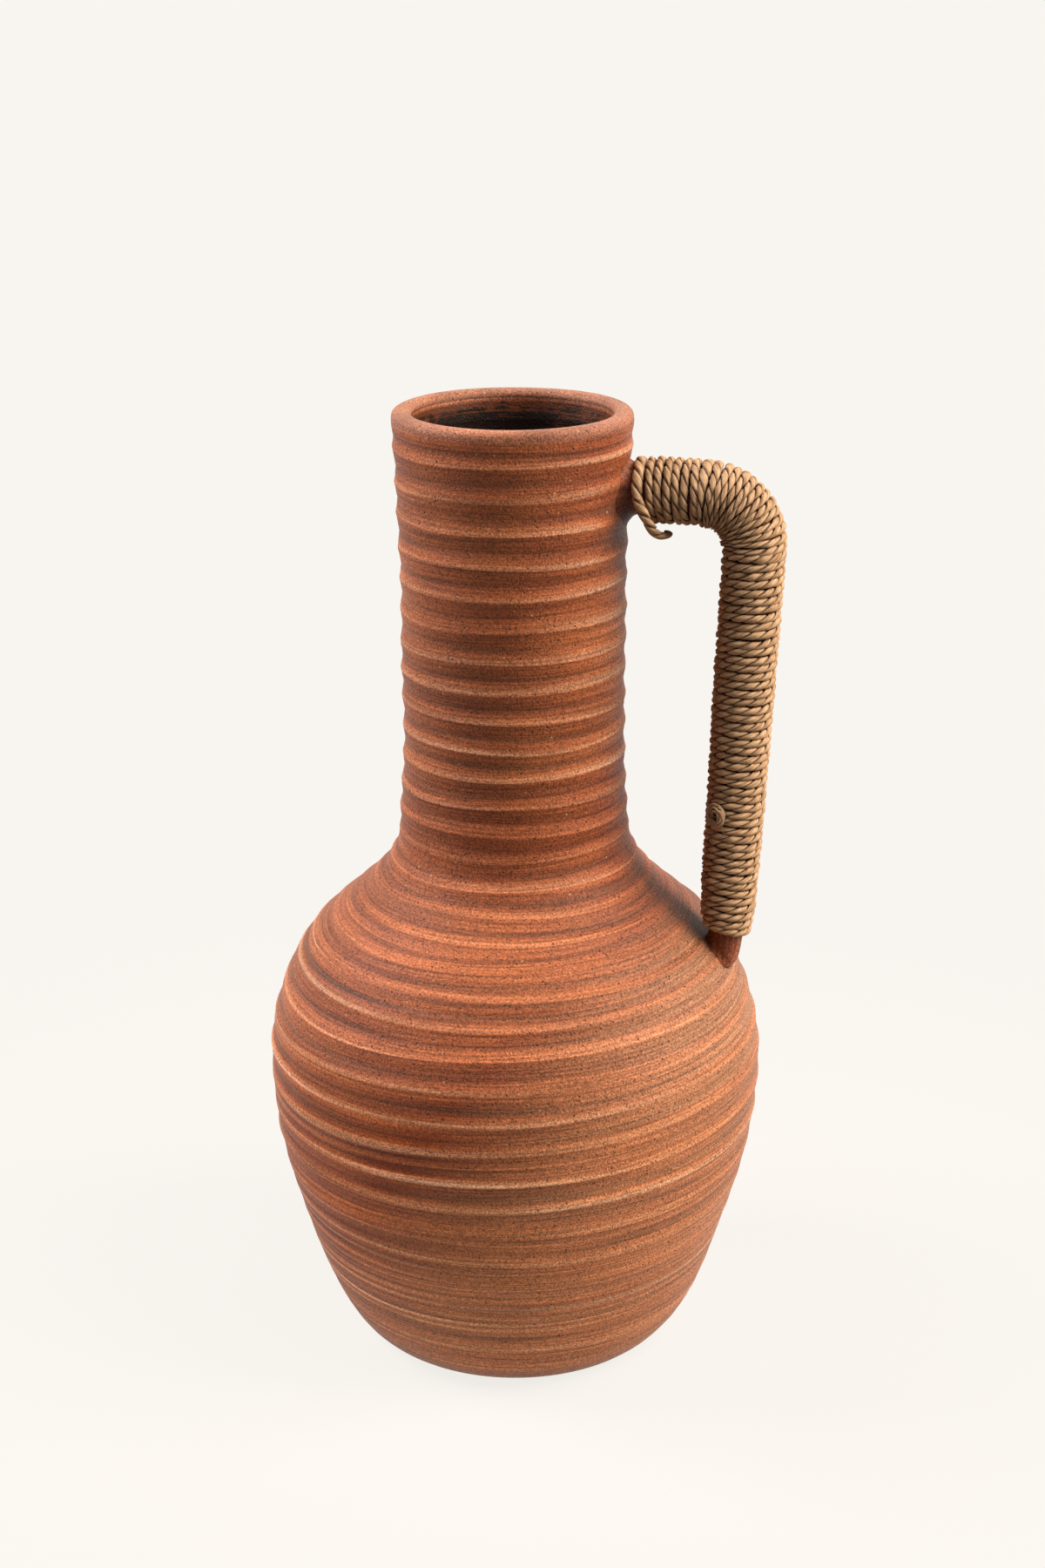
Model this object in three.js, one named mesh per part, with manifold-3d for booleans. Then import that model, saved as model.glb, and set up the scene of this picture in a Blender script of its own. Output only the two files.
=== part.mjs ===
// A wheel-thrown clay pitcher: round belly, tall ringed neck and a bent clay handle wound with twisted cord.
// Units are millimetres and +Z is up. The origin is the middle of the foot and the handle points along +X.
import * as THREE from "three";
import { mergeVertices } from "three/addons/utils/BufferGeometryUtils.js";
import Module from "manifold-3d";

const wasm = await Module();
wasm.setup();

// Belly: the outside, from the flat foot up to the root of the neck.
const footRadius = 46;
const heelRadius = 69;
const heelHeight = 29;
const heelLean = 20;
const bellyRadius = 84.8;
const bellyHeight = 103.5;
const shoulderRadius = 68;
const shoulderRise = 46;
const shoulderLean = -41;
const bellyWall = 6;
const floorThickness = 8;

// Neck: thrown as a tube of its own and luted on the shoulder.
const neckRootRadius = 38.5;
const neckRootRise = 37;
const neckRootLean = -3;
const waistRadius = 36.9;
const waistRise = 35.5;
const lipRadius = 39.1;
const lipRise = 102.5;
const lipLean = 4;
const lipCap = 3.5;
const neckWall = 6.5;

// Throwing rings that the potter's fingers left, one groove and one crest for each turn of the wheel.
const ringPitch = 10;
const ringDepth = 0.7;
const crestShare = 0.42;
const grooveShare = 0.75;
const plainHeel = 12;
const fadeHeight = 45;

// Handle: one bar of clay, level out of the neck, round a bend, and down to the shoulder.
const armBelowLip = 21;
const gripReach = 79.4;
const bendRadius = 16;
const gripLean = 2.6;
const barRadiusAtNeck = 8.3;
const barRadiusAtToe = 6.2;
const toeDepth = 4;
const toeLength = 25;
const toeBlunt = 1;
const flareRadius = 6;
const flareLength = 3.1;
const flareDrop = 2.3;

// Cord: two-ply fibre, wound from the neck to a knot and from the knot to the shoulder.
const cordDiameter = 2.75;
const cordPitch = 2.8;
const upperTurns = 47;
const tailTurn = 0.6;
const tailLiftFrom = 0.25;
const tailLiftTo = 0.42;
const tailReach = 10;
const tuftRadius = 3.4;
const tuftHeight = 2.2;

// Clearance between pieces that touch, and how finely round shapes are divided.
const seat = 0.3;
const lathedSides = 32;
const barSides = 12;
const cordSides = 5;
const innerStations = 11;
const lipStations = 8;
const flareStations = 3;
const bendStations = 8;
const toeStations = 7;
const domeStations = 5;
const halvings = 30;
const mergeDistance = 1e-4;

const fired = { color: 0xa9623f, roughness: 0.72, metalness: 0 };
const fibre = { color: 0xb8905f, roughness: 0.95, metalness: 0 };

const radians = THREE.MathUtils.degToRad;

// Heights of the named levels above the foot.
const shoulderHeight = bellyHeight + shoulderRise;
const jointHeight = shoulderHeight + neckRootRise;
const lipHeight = jointHeight + waistRise + lipRise;

// One smooth outline through named places, each with its radius, height and lean out of plumb.
function smoothOutline(places) {
  const path = new THREE.Path();
  path.moveTo(places[0].radius, places[0].height);
  for (let i = 1; i < places.length; i++) {
    const from = places[i - 1];
    const to = places[i];
    const pull = Math.hypot(to.radius - from.radius, to.height - from.height) / 3;
    path.bezierCurveTo(
      from.radius + pull * Math.sin(radians(from.lean)),
      from.height + pull * Math.cos(radians(from.lean)),
      to.radius - pull * Math.sin(radians(to.lean)),
      to.height - pull * Math.cos(radians(to.lean)),
      to.radius,
      to.height,
    );
  }
  return path;
}

const neckRoot = { radius: neckRootRadius, height: jointHeight, lean: neckRootLean };
const bellyOutline = smoothOutline([
  { radius: footRadius, height: 0, lean: 90 },
  { radius: heelRadius, height: heelHeight, lean: heelLean },
  { radius: bellyRadius, height: bellyHeight, lean: 0 },
  { radius: shoulderRadius, height: shoulderHeight, lean: shoulderLean },
  neckRoot,
]);
const neckOutline = smoothOutline([
  neckRoot,
  { radius: waistRadius, height: jointHeight + waistRise, lean: 0 },
  { radius: lipRadius, height: lipHeight, lean: lipLean },
]);

// A point of an outline moved straight away from its wall: outwards for a positive distance.
function besideWall(outline, share, distance) {
  const point = outline.getPoint(share);
  const along = outline.getTangent(share);
  return point.add(new THREE.Vector2(along.y, -along.x).multiplyScalar(distance));
}

// The outline with its throwing rings, from bottom to top, standing off the clay by a clearance.
function ringedWall(outline, clearance) {
  const rings = Math.max(1, Math.round(outline.getLength() / ringPitch));
  const points = [besideWall(outline, 0, clearance)];
  for (let ring = 0; ring < rings; ring++) {
    for (const [place, side] of [[crestShare, 1], [grooveShare, -1]]) {
      const share = (ring + place) / rings;
      const height = outline.getPoint(share).y;
      const depth = ringDepth * THREE.MathUtils.smoothstep(height, plainHeel, plainHeel + fadeHeight);
      points.push(besideWall(outline, share, clearance + (side * depth) / 2));
    }
  }
  points.push(besideWall(outline, 1, clearance));
  return points;
}

// The inside of a wall, from top to bottom.
function innerWall(outline, wall, lowest) {
  const points = [];
  for (let i = 0; i <= innerStations; i++) {
    const point = besideWall(outline, 1 - i / innerStations, -wall);
    if (point.y > lowest) {
      points.push(point);
    }
  }
  return points;
}

// Turns a closed outline round the Z axis.
function turned(points) {
  return new THREE.LatheGeometry(points, lathedSides).rotateX(Math.PI / 2);
}

function bellyGeometry() {
  const outside = ringedWall(bellyOutline, 0);
  outside[0].y = 0;
  const inside = innerWall(bellyOutline, bellyWall, floorThickness);
  inside[0].set(neckRootRadius - neckWall, jointHeight);
  outside[outside.length - 1].set(neckRootRadius, jointHeight);
  const floorEdge = new THREE.Vector2(footRadius, floorThickness);
  const floorMiddle = new THREE.Vector2(0, floorThickness);
  return turned([new THREE.Vector2(0, 0), ...outside, ...inside, floorEdge, floorMiddle]);
}

// The rounded lip, from its outer to its inner edge.
function lipCurve() {
  const middle = lipRadius - neckWall / 2;
  const cap = new THREE.EllipseCurve(middle, lipHeight, neckWall / 2, lipCap, 0, Math.PI);
  return cap.getPoints(lipStations).slice(1, -1);
}

function neckGeometry() {
  const outside = ringedWall(neckOutline, 0);
  const inside = innerWall(neckOutline, neckWall, jointHeight);
  outside[0].set(neckRootRadius, jointHeight);
  outside[outside.length - 1].set(lipRadius, lipHeight);
  inside[0].set(lipRadius - neckWall, lipHeight);
  const inFoot = new THREE.Vector2(neckRootRadius - neckWall, jointHeight);
  return turned([inFoot, ...outside, ...lipCurve(), ...inside, inFoot.clone()]).translate(0, 0, -jointHeight);
}

// Halves a range until it closes on the last value for which a test is true.
function lastTrue(low, high, test) {
  for (let i = 0; i < halvings; i++) {
    const middle = (low + high) / 2;
    if (test(middle)) {
      low = middle;
    } else {
      high = middle;
    }
  }
  return low;
}

// The outer radius of the smooth jug at a height.
function jugRadius(height) {
  const outline = height < jointHeight ? bellyOutline : neckOutline;
  return outline.getPoint(lastTrue(0, 1, (share) => outline.getPoint(share).y < height)).x;
}

// The handle's centre line in its own upright plane: x is outwards and y is up.
const armHeight = lipHeight - armBelowLip;
const bendCentreX = gripReach - bendRadius;
const bendCentreY = armHeight - bendRadius;
const route = new THREE.Path();
route.moveTo(0, armHeight);
route.lineTo(bendCentreX, armHeight);
route.absarc(bendCentreX, bendCentreY, bendRadius, Math.PI / 2, -radians(gripLean), true);
const gripTop = route.currentPoint.clone();

function gripX(height) {
  return gripTop.x - (gripTop.y - height) * Math.tan(radians(gripLean));
}

// The grip goes down until its middle is the toe's depth inside the shoulder.
const toeHeight = lastTrue(
  bellyHeight,
  jointHeight,
  (height) => jugRadius(height) - gripX(height) > toeDepth,
);
route.lineTo(gripX(toeHeight), toeHeight);
const routeLength = route.getLength();
const neckFace = jugRadius(armHeight);
const bendStart = bendCentreX;
const bendEnd = bendStart + bendRadius * (Math.PI / 2 + radians(gripLean));

// The place, the direction and the outward side of the centre line at a distance along it.
function routeFrame(distance) {
  const share = THREE.MathUtils.clamp(distance / routeLength, 0, 1);
  const place = route.getPoint(share);
  const along = route.getTangent(share);
  return {
    place: new THREE.Vector3(place.x, 0, place.y),
    along: new THREE.Vector3(along.x, 0, along.y),
    outward: new THREE.Vector3(-along.y, 0, along.x),
  };
}

// The point at an angle round the handle: 0 is its outer side and a quarter turn is its front, -Y.
function roundHandle(distance, angle, radius) {
  const frame = routeFrame(distance);
  const front = new THREE.Vector3(0, -1, 0);
  const away = frame.outward.multiplyScalar(Math.cos(angle)).addScaledVector(front, Math.sin(angle));
  return { centre: frame.place.addScaledVector(away, radius), away, along: frame.along };
}

// The bar tapers evenly from the neck to the toe, and its last part narrows like a long nose.
function barRadius(distance) {
  const share = THREE.MathUtils.clamp((distance - neckFace) / (routeLength - neckFace), 0, 1);
  const nose = Math.max(0, (distance - routeLength + toeLength - toeBlunt) / toeLength);
  return THREE.MathUtils.lerp(barRadiusAtNeck, barRadiusAtToe, share) * Math.sqrt(1 - nose * nose);
}

// A closed solid through a list of rings of points, with a flat cap on each end.
function loft(rings) {
  const sides = rings[0].length;
  const last = (rings.length - 1) * sides;
  const index = [];
  for (let ring = 0; ring < last; ring += sides) {
    for (let side = 0; side < sides; side++) {
      const next = (side + 1) % sides;
      index.push(ring + side, ring + next, ring + sides + next);
      index.push(ring + side, ring + sides + next, ring + sides + side);
    }
  }
  for (let side = 1; side + 1 < sides; side++) {
    index.push(0, side + 1, side);
    index.push(last, last + side, last + side + 1);
  }
  return new THREE.BufferGeometry().setFromPoints(rings.flat()).setIndex(index);
}

const barStep = (2 * Math.PI) / barSides;

// A ring of the bar. Against the neck it flares, lower than the bar's middle.
function barRing(distance) {
  const flare = THREE.MathUtils.clamp(1 - (distance - neckFace) / flareLength, 0, 1) ** 2;
  const radius = barRadius(distance) + flareRadius * flare;
  const ring = [];
  for (let side = 0; side < barSides; side++) {
    const point = roundHandle(distance, (side + 0.5) * barStep, radius).centre;
    ring.push(point.setZ(point.z - flareDrop * flare));
  }
  return ring;
}

function solidOf(geometry) {
  const bare = geometry.clone();
  bare.deleteAttribute("normal");
  bare.deleteAttribute("uv");
  const merged = mergeVertices(bare, mergeDistance);
  return new wasm.Manifold(
    new wasm.Mesh({
      numProp: 3,
      vertProperties: new Float32Array(merged.attributes.position.array),
      triVerts: new Uint32Array(merged.index.array),
    }),
  );
}

function geometryOf(solid) {
  const mesh = solid.getMesh();
  const geometry = new THREE.BufferGeometry();
  geometry.setAttribute("position", new THREE.BufferAttribute(new Float32Array(mesh.vertProperties), 3));
  geometry.setIndex(new THREE.BufferAttribute(new Uint32Array(mesh.triVerts), 1));
  geometry.computeVertexNormals();
  return geometry;
}

// The jug without its hollow, a seat's clearance larger: the ends of the handle are scooped out with it.
function jugBlock() {
  const outside = [...ringedWall(bellyOutline, seat), ...ringedWall(neckOutline, seat).slice(1)];
  outside[0].y = 0;
  const top = outside[outside.length - 1].y;
  return turned([new THREE.Vector2(0, 0), ...outside, new THREE.Vector2(0, top)]);
}

function handleGeometry() {
  const stations = [0];
  for (let i = 0; i <= flareStations; i++) {
    stations.push(neckFace + (flareLength * i) / flareStations);
  }
  for (let i = 0; i <= bendStations; i++) {
    stations.push(THREE.MathUtils.lerp(bendStart, bendEnd, i / bendStations));
  }
  for (let i = 0; i <= toeStations; i++) {
    stations.push(routeLength - (toeLength - toeBlunt) * (1 - Math.sin((i * Math.PI) / 2 / toeStations)));
  }
  const bar = solidOf(loft(stations.map(barRing)));
  return geometryOf(bar.subtract(solidOf(jugBlock())));
}

// One cross-section of cord, pressed narrower where the turns crowd on the inside of the bend.
function cordRing(distance, angle, lift) {
  const halfHeight = cordDiameter / 2;
  const flatDepth = halfHeight * Math.cos(Math.PI / cordSides);
  const radius = barRadius(distance) + seat + flatDepth + lift;
  const { centre, away, along } = roundHandle(distance, angle, radius);
  const bending = distance > bendStart && distance < bendEnd ? Math.cos(angle) / bendRadius : 0;
  const room = cordPitch * (1 + bending * radius);
  const halfWidth = halfHeight * Math.min(1, room / cordPitch);
  const ring = [];
  for (let side = 0; side < cordSides; side++) {
    const turn = (side * 2 * Math.PI) / cordSides;
    ring.push(
      centre
        .clone()
        .addScaledVector(away, halfHeight * Math.cos(turn))
        .addScaledVector(along, -halfWidth * Math.sin(turn)),
    );
  }
  return ring;
}

// The winding starts beside the tail and goes on, turn by turn, until the shoulder is in its way.
const tailDistance = neckFace + flareLength + cordPitch / 2;
const windingStart = tailDistance + cordPitch;

function windingDistance(step) {
  return windingStart + (cordPitch * step) / barSides;
}

function clearOfShoulder(step) {
  const distance = windingDistance(step) + cordPitch;
  const inner = roundHandle(distance, Math.PI, barRadius(distance) + seat + cordDiameter).centre;
  return distance < bendEnd || inner.x > jugRadius(inner.z) + seat;
}

function lastStep() {
  let step = upperTurns * barSides;
  while (windingDistance(step) < routeLength - cordPitch && clearOfShoulder(step)) {
    step++;
  }
  return step;
}

function winding(from, to) {
  const rings = [];
  for (let step = from; step <= to; step++) {
    rings.push(cordRing(windingDistance(step), (step + 0.5) * barStep, 0));
  }
  return loft(rings);
}

// The knot sits in a gap of one step, a little inward of the handle's front.
const knotStep = (upperTurns + 0.25) * barSides;

function tuftGeometry() {
  const base = seat;
  const head = cordDiameter + 2 * seat;
  const stem = cordDiameter / 2 - seat;
  const dome = new THREE.EllipseCurve(0, head, tuftRadius, tuftHeight, 0, Math.PI / 2);
  const outline = [
    new THREE.Vector2(0, base),
    new THREE.Vector2(stem, base),
    new THREE.Vector2(stem, head),
    ...dome.getPoints(domeStations).slice(0, -1),
    new THREE.Vector2(0, head + tuftHeight),
  ];
  return new THREE.LatheGeometry(outline, barSides);
}

function tuftMesh() {
  const distance = windingDistance(knotStep + 0.5);
  const angle = (knotStep + 1) * barStep;
  const mesh = named("cord_knot", tuftGeometry(), fibre);
  const { centre, away } = roundHandle(distance, angle, barRadius(distance));
  mesh.position.copy(centre);
  mesh.quaternion.setFromUnitVectors(new THREE.Vector3(0, 1, 0), away);
  return mesh;
}

// The tail: out over the top of the arm, down its front, and under the first turns, where it is cut off.
function tailGeometry() {
  const rings = [];
  const steps = Math.round(tailTurn * barSides);
  for (let step = 0; step <= steps; step++) {
    const turn = step / barSides;
    const lift = THREE.MathUtils.smoothstep(turn, tailLiftFrom, tailLiftTo) * (cordDiameter + seat);
    const reach = (tailReach * Math.max(0, turn - tailLiftTo)) / (tailTurn - tailLiftTo);
    rings.push(cordRing(tailDistance + reach, (step - 0.5) * barStep, lift));
  }
  return loft(rings);
}

function named(name, geometry, finish) {
  const mesh = new THREE.Mesh(geometry, new THREE.MeshStandardMaterial(finish));
  mesh.name = name;
  return mesh;
}

const body = new THREE.Group();
body.add(named("belly", bellyGeometry(), fired));
const neck = named("neck", neckGeometry(), fired);
neck.position.z = jointHeight;
body.add(neck);

const handle = new THREE.Group();
handle.add(named("handle", handleGeometry(), fired));
handle.add(named("cord_upper", winding(0, knotStep), fibre));
handle.add(named("cord_lower", winding(knotStep + 1, lastStep()), fibre));
handle.add(tuftMesh());
handle.add(named("cord_tail", tailGeometry(), fibre));

const pitcher = new THREE.Group();
pitcher.add(body, handle);
export default pitcher;
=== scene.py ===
# %% [markdown]
# A clay pitcher: a round belly and a tall neck, thrown on a wheel, and a bent clay handle wound with twisted
# fibre cord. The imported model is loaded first. It gives the size and place of every piece, so each mesh made
# below is measured from it and stands in for one of its solids.

import math

import bpy
import numpy as np
from mathutils import Matrix, Vector


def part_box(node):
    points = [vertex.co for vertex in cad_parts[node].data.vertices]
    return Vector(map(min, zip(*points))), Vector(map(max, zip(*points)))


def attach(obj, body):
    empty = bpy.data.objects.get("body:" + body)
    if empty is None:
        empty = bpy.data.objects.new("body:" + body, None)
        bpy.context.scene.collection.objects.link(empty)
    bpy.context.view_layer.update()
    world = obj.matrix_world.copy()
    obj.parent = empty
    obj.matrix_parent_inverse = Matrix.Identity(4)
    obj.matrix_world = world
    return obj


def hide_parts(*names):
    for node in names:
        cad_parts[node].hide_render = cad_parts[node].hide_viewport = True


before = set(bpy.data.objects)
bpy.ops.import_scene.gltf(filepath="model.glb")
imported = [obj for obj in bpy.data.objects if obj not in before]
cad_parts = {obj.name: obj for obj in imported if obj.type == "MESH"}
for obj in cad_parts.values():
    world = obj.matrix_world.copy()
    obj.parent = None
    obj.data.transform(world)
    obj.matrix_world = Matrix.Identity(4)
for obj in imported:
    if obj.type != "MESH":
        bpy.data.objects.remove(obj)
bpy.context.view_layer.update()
MM = 0.001
joint_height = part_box("neck")[0].z / MM
top_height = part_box("neck")[1].z / MM

# %% [markdown]
# Colours are picked as sRGB hex values, the way a colour chart gives them. Blender's shaders work in linear
# light, so one function turns a hex value to linear. A second small function adds a shader node, sets its
# fields, fills its inputs with a number, a colour or another node's output, and gives back an output.


# %% Colour and node helpers
def linear(code):
    channels = [int(code[i : i + 2], 16) / 255 for i in (1, 3, 5)]
    return [c / 12.92 if c <= 0.04045 else ((c + 0.055) / 1.055) ** 2.4 for c in channels] + [1.0]


def add(tree, kind, inputs=None, output=0, stops=(), **fields):
    node = tree.nodes.new("ShaderNode" + kind)
    for name, value in fields.items():
        setattr(node, name, value)
    for name, value in (inputs or {}).items():
        if isinstance(value, bpy.types.NodeSocket):
            tree.links.new(value, node.inputs[name])
        else:
            node.inputs[name].default_value = value
    for place, _ in stops[1:-1]:
        node.color_ramp.elements.new(place)
    for i, (place, colour) in enumerate(stops):
        node.color_ramp.elements[i].position = place
        node.color_ramp.elements[i].color = linear(colour)
    return node.outputs[output] if len(node.outputs) else None


def new_material(name):
    material = bpy.data.materials.new(name)
    material.use_nodes = True
    material.node_tree.nodes.clear()
    return material, material.node_tree


# %% [markdown]
# The camera stands a little above the lip and a little to the handle's side of straight ahead. A 58 mm lens
# on a 36 mm high picture gives the photograph's mild perspective: the mouth is seen as an open ellipse, and
# the belly's underside curls away. The camera is rolled by a fifth of a degree, because the photograph's
# upright lines lean by that much.

# %% Camera
camera_turn = math.radians(13.5)
camera_distance = 0.804
camera_height = 0.4847
aim_height = 0.2
aim_to_right = 0.0028
camera_roll = math.radians(-0.19)
lens_mm = 58
picture_height_mm = 36

picture_right = Vector((math.cos(camera_turn), math.sin(camera_turn), 0))
towards_camera = Vector((math.sin(camera_turn), -math.cos(camera_turn), 0))
camera_data = bpy.data.cameras.new("camera")
camera_data.lens = lens_mm
camera_data.sensor_width = picture_height_mm
camera = bpy.data.objects.new("camera", camera_data)
bpy.context.collection.objects.link(camera)
camera.location = towards_camera * camera_distance + Vector((0, 0, camera_height))
aim = picture_right * aim_to_right + Vector((0, 0, aim_height))
look = (aim - camera.location).to_track_quat("-Z", "Y").to_matrix().to_4x4()
camera.matrix_world = Matrix.Translation(camera.location) @ look @ Matrix.Rotation(camera_roll, 4, "Z")
bpy.context.scene.camera = camera
print("camera at", [round(v, 3) for v in camera.location])

# %% [markdown]
# Studio light. Clay this matt shows its form by soft light from above: each throwing ring has a lower face
# that turns away from it and a short upper face that catches it. Two soft boxes stand high on the right and
# the left, level with the pitcher, which leaves the middle of the neck darker than its sides. A weaker one,
# in front on the right, lays a soft sheen on the shoulder. The world adds almost nothing to the light. Its
# pale backdrop is a colour that only the camera, reflections and clear materials see, so no lamp has to burn
# it out.

# %% Lamps and world
background = linear("#F8F5F0")


def soft_box(name, place, target, size, watts, colour):
    data = bpy.data.lights.new(name, "AREA")
    data.shape = "RECTANGLE"
    data.size, data.size_y = size
    data.energy = watts
    data.color = linear(colour)[:3]
    lamp = bpy.data.objects.new(name, data)
    lamp.location = place
    lamp.rotation_euler = (Vector(target) - Vector(place)).to_track_quat("-Z", "Y").to_euler()
    bpy.context.collection.objects.link(lamp)


def studio_place(right, near, up):
    return picture_right * right + towards_camera * near + Vector((0, 0, up))


def seen_directly(tree):
    """1 for rays from the camera or by way of a gloss or a glass, and 0 for rays that carry light."""
    seen = add(tree, "LightPath", output="Is Camera Ray")
    for ray in ("Is Glossy Ray", "Is Transmission Ray"):
        seen = add(tree, "Math", {0: seen, 1: add(tree, "LightPath", output=ray)}, operation="MAXIMUM")
    return seen


middle = (0, 0, 0.18)
soft_box("right_soft_box", studio_place(0.99, 0.21, 0.92), middle, (0.6, 1.0), 24.5, "#FFEDDC")
soft_box("left_soft_box", studio_place(-0.955, -0.08, 0.9), middle, (0.6, 0.7), 20.5, "#FFF2EE")
soft_box("front_soft_box", studio_place(0.57, 0.57, 1.13), middle, (0.5, 0.5), 6.0, "#FFF4EA")

world = bpy.data.worlds.new("pale_studio")
bpy.context.scene.world = world
world.use_nodes = True
tree = world.node_tree
tree.nodes.clear()
seen = seen_directly(tree)
fill = add(tree, "Background", {"Color": linear("#F4F8FF"), "Strength": 0.03})
shown = add(tree, "Background", {"Color": background, "Strength": 1.0})
add(tree, "OutputWorld", {"Surface": add(tree, "MixShader", {0: seen, 1: fill, 2: shown})})
bpy.context.scene.view_settings.view_transform = "Standard"

# %% [markdown]
# The floor is one wide sheet of pale paper. To the camera it is mostly its own flat colour, so that it runs
# into the backdrop without a line, and the rest is a real matt surface that keeps the pitcher's shadow. To
# the rays that carry light the paper is grey away from the pitcher, as if dark cards lay round the studio
# table. White paper would throw so much light back that the clay's deep browns would turn grey.

# %% Floor
floor_half = 3.0
cards_from, cards_to = 0.12, 0.45
shadow_from, shadow_to = 0.08, 0.4
paper_mesh = bpy.data.meshes.new("paper_floor")
corners = [(x * floor_half, y * floor_half, 0) for x, y in ((-1, -1), (1, -1), (1, 1), (-1, 1))]
paper_mesh.from_pydata(corners, [], [(0, 1, 2, 3)])
paper_floor = bpy.data.objects.new("paper_floor", paper_mesh)
bpy.context.collection.objects.link(paper_floor)
paper, tree = new_material("matt_white_paper")
seen = seen_directly(tree)
place = add(tree, "TexCoord", output="Object")
far = add(tree, "VectorMath", {0: place}, output="Value", operation="LENGTH")
away = add(tree, "MapRange", {"Value": far, "From Min": cards_from, "From Max": cards_to})
white, shaded, dark = linear("#E8E5E0"), linear("#A89E90"), linear("#5A5753")
carded = add(tree, "Mix", {0: away, 6: shaded, 7: dark}, output=2, data_type="RGBA")
colour = add(tree, "Mix", {0: seen, 6: carded, 7: white}, output=2, data_type="RGBA")
flat = add(tree, "Emission", {"Color": background, "Strength": 1.0})
matt = add(tree, "BsdfDiffuse", {"Color": colour})
flat_share = {"Value": far, "From Min": shadow_from, "From Max": shadow_to, "To Min": 0.9, "To Max": 1.0}
flat_share = add(tree, "MapRange", flat_share)
share = add(tree, "Math", {0: seen, 1: flat_share}, operation="MULTIPLY")
add(tree, "OutputMaterial", {"Surface": add(tree, "MixShader", {0: share, 1: matt, 2: flat})})
paper_mesh.materials.append(paper)

# %% [markdown]
# The thrown wall. A pot comes off the wheel with its outline as one flowing curve, so the outline is a chain
# of Bezier arcs through the few places where the form turns: foot, heel, belly, shoulder, neck root, waist
# and lip. Each place has a radius and a height in mm and a lean out of plumb in degrees, and each arc pulls
# a third of its chord.

# %% Outline of the wall
foot_radius = 46
belly_wall = 6.0
floor_thickness = 8.0
neck_wall = 6.5
lip_radius = 39.1
lip_cap = 3.5
lip_height = top_height - lip_cap
turning_places = {
    "foot": (foot_radius, 0, 90),
    "heel": (69, 29, 20),
    "belly": (84.8, 103.5, 0),
    "shoulder": (68, 149.5, -41),
    "neck root": (38.5, joint_height, -3),
    "waist": (36.9, joint_height + 35.5, 0),
    "lip": (lip_radius, lip_height, 4),
}
arc_steps = 300


def bezier_arc(start, end):
    pull = math.hypot(end[0] - start[0], end[1] - start[1]) / 3
    lean_in, lean_out = math.radians(start[2]), math.radians(end[2])
    first = np.array(start[:2], float)
    last = np.array(end[:2], float)
    second = first + pull * np.array([math.sin(lean_in), math.cos(lean_in)])
    third = last - pull * np.array([math.sin(lean_out), math.cos(lean_out)])
    t = np.linspace(0, 1, arc_steps)[:, None]
    return (1 - t) ** 3 * first + 3 * t * (1 - t) ** 2 * second + 3 * t**2 * (1 - t) * third + t**3 * last


places = list(turning_places.values())
arcs = [bezier_arc(start, end) for start, end in zip(places, places[1:])]
outline = np.vstack([arcs[0]] + [arc[1:] for arc in arcs[1:]])
steps = np.diff(outline, axis=0)
run = np.concatenate([[0], np.cumsum(np.hypot(*steps.T))])
slope = np.gradient(outline, run, axis=0)
outward = np.stack([slope[:, 1], -slope[:, 0]], axis=1)
outward /= np.linalg.norm(outward, axis=1)[:, None]
wall_run = run[-1]
print("length of the outline from foot to lip:", round(wall_run, 1), "mm")


def wall_point(along, stand_off):
    """Radius and height of the place that far along the outline, moved off the wall."""
    radius, height = (np.interp(along, run, outline[:, i]) for i in (0, 1))
    out, up = (np.interp(along, run, outward[:, i]) for i in (0, 1))
    return radius + stand_off * out, height + stand_off * up


# %% [markdown]
# Nothing made by hand repeats exactly. One function makes soft unevenness for all of it: a sum of a few
# waves with seeded phases. Round the pot the wave counts are whole numbers, so that the last column meets
# the first.


# %% Seeded unevenness
def waves(seed, across, round_by, size_across, turns, count=9):
    """Unevenness of about one unit that varies along one measure and, in whole waves, round the pot."""
    dice = np.random.default_rng(seed)
    total = 0
    for _ in range(count):
        stretch = dice.uniform(0.6, 1.5) * 2 * math.pi / size_across
        whole = dice.integers(-turns, turns + 1)
        total = total + np.sin(across * stretch + round_by * whole + dice.uniform(0, 2 * math.pi))
    return total / math.sqrt(count / 2)


# %% [markdown]
# Throwing rings. The fingers climb the wall by one step for each turn of the wheel and leave a groove, a
# short slope that looks up and a crest with a sharp lower edge. The step is about 10 mm, a little wider at
# the lip and on the belly than at the shoulder.

# %% Throwing rings
ring_step = 10.04
first_crest = 8.2
step_sway = 3.4
rings_in_sway = 27
plain_heel = 12
ring_count = int((wall_run - first_crest) / ring_step)
crests = [wall_run]
for ring in range(ring_count):
    sway = step_sway * math.sin(2 * math.pi * ring / rings_in_sway)
    crests.append(wall_run - first_crest - ring_step * ring - sway)
crests = np.array([c for c in crests if c > plain_heel])
joint_ring = int(np.argmin(abs(crests - (np.interp(joint_height, outline[:, 1], run) - 1))))
print(len(crests), "rings; the neck ends on ring", joint_ring)
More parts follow.
